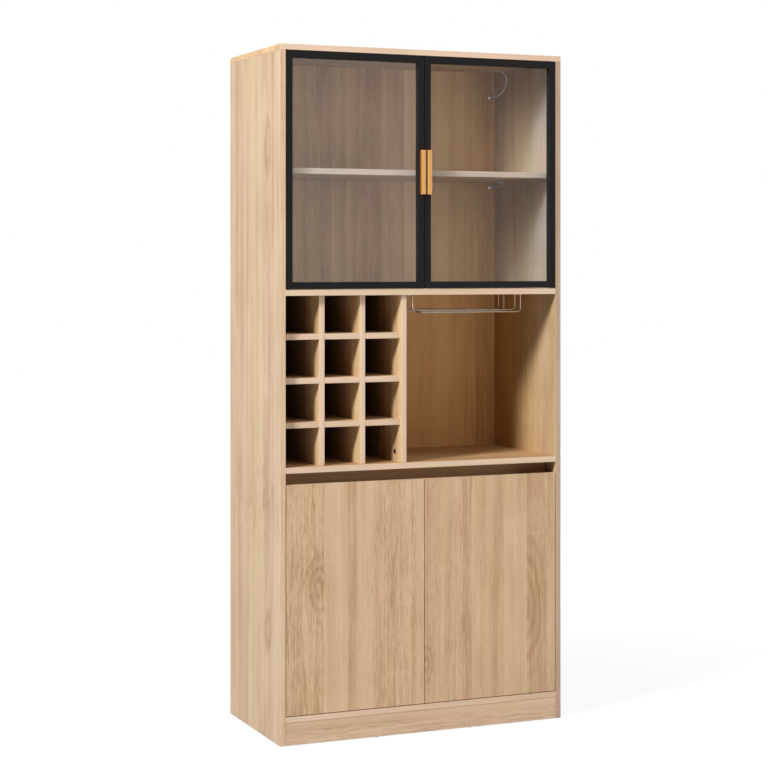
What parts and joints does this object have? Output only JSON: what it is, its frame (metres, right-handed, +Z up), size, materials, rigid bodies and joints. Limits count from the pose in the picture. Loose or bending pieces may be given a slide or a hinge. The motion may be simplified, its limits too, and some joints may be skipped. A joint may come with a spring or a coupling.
{
  "type": "display cabinet",
  "caption": "Tall bar cabinet: framed glass doors over a bottle rack and an open bay with a stemware rack, with flush wooden doors below a grip recess.",
  "frame": {"origin": "on the floor, under the middle of the bounding box", "axes": "+Z up, +X to the right seen from the front, the front faces -Y"},
  "size_m": [0.81, 0.415, 1.8],
  "materials": {
    "oak_board": "oak-print melamine, matt, fine pores",
    "oak_back_sheet": "oak-print hardboard, matt",
    "black_frame": "satin black coating",
    "smoked_glass": "polished, lightly smoked",
    "gasket": "matt grey",
    "gold": "brushed, satin gold",
    "bright_steel": "zinc plated",
    "cam_metal": "die cast, dull",
    "chrome_wire": "polished",
    "beech": "raw, fluted",
    "light_diffuser": "translucent, smooth",
    "clear_lead": "clear sleeve over white strands",
    "black_plastic": "matt",
    "brown_plastic": "matt"
  },
  "bodies": {
    "root": {"back_joint_strip": "brown_plastic", "back_sheet_screws": "bright_steel", "bay_divider": "oak_board", "bay_floor_panel": "oak_board", "bottom_panel": "oak_board", "cam_bolts": "bright_steel", "cam_locks": "cam_metal", "centre_rack_shelf": "oak_board", "display_shelf": "oak_board", "door_catches": "black_plastic", "dowels": "beech", "floor_glides": "black_plastic", "front_stem_loop": "chrome_wire", "grip_rail": "oak_board", "hinge_arms": "bright_steel", "hinge_pins": "bright_steel", "hinge_plate_screws": "bright_steel", "hinge_plates": "bright_steel", "left_rack_divider": "oak_board", "left_side_panel": "oak_board", "light_leads": "clear_lead", "light_sockets": "chrome_wire", "lower_back_sheet": "oak_back_sheet", "lower_rack_shelf": "oak_board", "middle_panel": "oak_board", "pivot_bushes": "black_plastic", "plinth_board": "oak_board", "rear_stem_loop": "chrome_wire", "right_rack_divider": "oak_board", "right_side_panel": "oak_board", "shelf_light_strip": "light_diffuser", "shelf_pins": "bright_steel", "stem_rack_screws": "bright_steel", "storage_shelf": "oak_board", "top_light_strip": "light_diffuser", "top_panel": "oak_board", "upper_back_sheet": "oak_back_sheet", "upper_rack_shelf": "oak_board"},
    "left_glass_door": {"left_glass_door_hinge_stile": "black_frame", "left_glass_door_handle_stile": "black_frame", "left_glass_door_top_rail": "black_frame", "left_glass_door_bottom_rail": "black_frame", "left_glass_door_pane": "smoked_glass", "left_glass_door_gasket": "gasket", "left_glass_door_handle": "gold", "left_glass_door_handle_screws": "bright_steel", "left_glass_door_pivot_pins": "bright_steel"},
    "left_wood_door": {"left_wood_door_panel": "oak_board", "left_wood_door_hinge_cups": "bright_steel"},
    "right_glass_door": {"right_glass_door_hinge_stile": "black_frame", "right_glass_door_handle_stile": "black_frame", "right_glass_door_top_rail": "black_frame", "right_glass_door_bottom_rail": "black_frame", "right_glass_door_pane": "smoked_glass", "right_glass_door_gasket": "gasket", "right_glass_door_handle": "gold", "right_glass_door_handle_screws": "bright_steel", "right_glass_door_pivot_pins": "bright_steel"},
    "right_wood_door": {"right_wood_door_panel": "oak_board", "right_wood_door_hinge_cups": "bright_steel"}
  },
  "joints": [
    {"name": "left_glass_door_hinge", "type": "hinge", "parent": "root", "child": "left_glass_door", "pos_m": [-0.379, -0.1875, 1.477], "axis": [0, 0, -1], "range_deg": [0, 110]},
    {"name": "left_wood_door_hinge", "type": "hinge", "parent": "root", "child": "left_wood_door", "pos_m": [-0.3655, -0.1845, 0.373], "axis": [0, 0, -1], "range_deg": [0, 95]},
    {"name": "right_glass_door_hinge", "type": "hinge", "parent": "root", "child": "right_glass_door", "pos_m": [0.379, -0.1875, 1.477], "axis": [0, 0, 1], "range_deg": [0, 110]},
    {"name": "right_wood_door_hinge", "type": "hinge", "parent": "root", "child": "right_wood_door", "pos_m": [0.3655, -0.1845, 0.373], "axis": [0, 0, 1], "range_deg": [0, 95]}
  ]
}
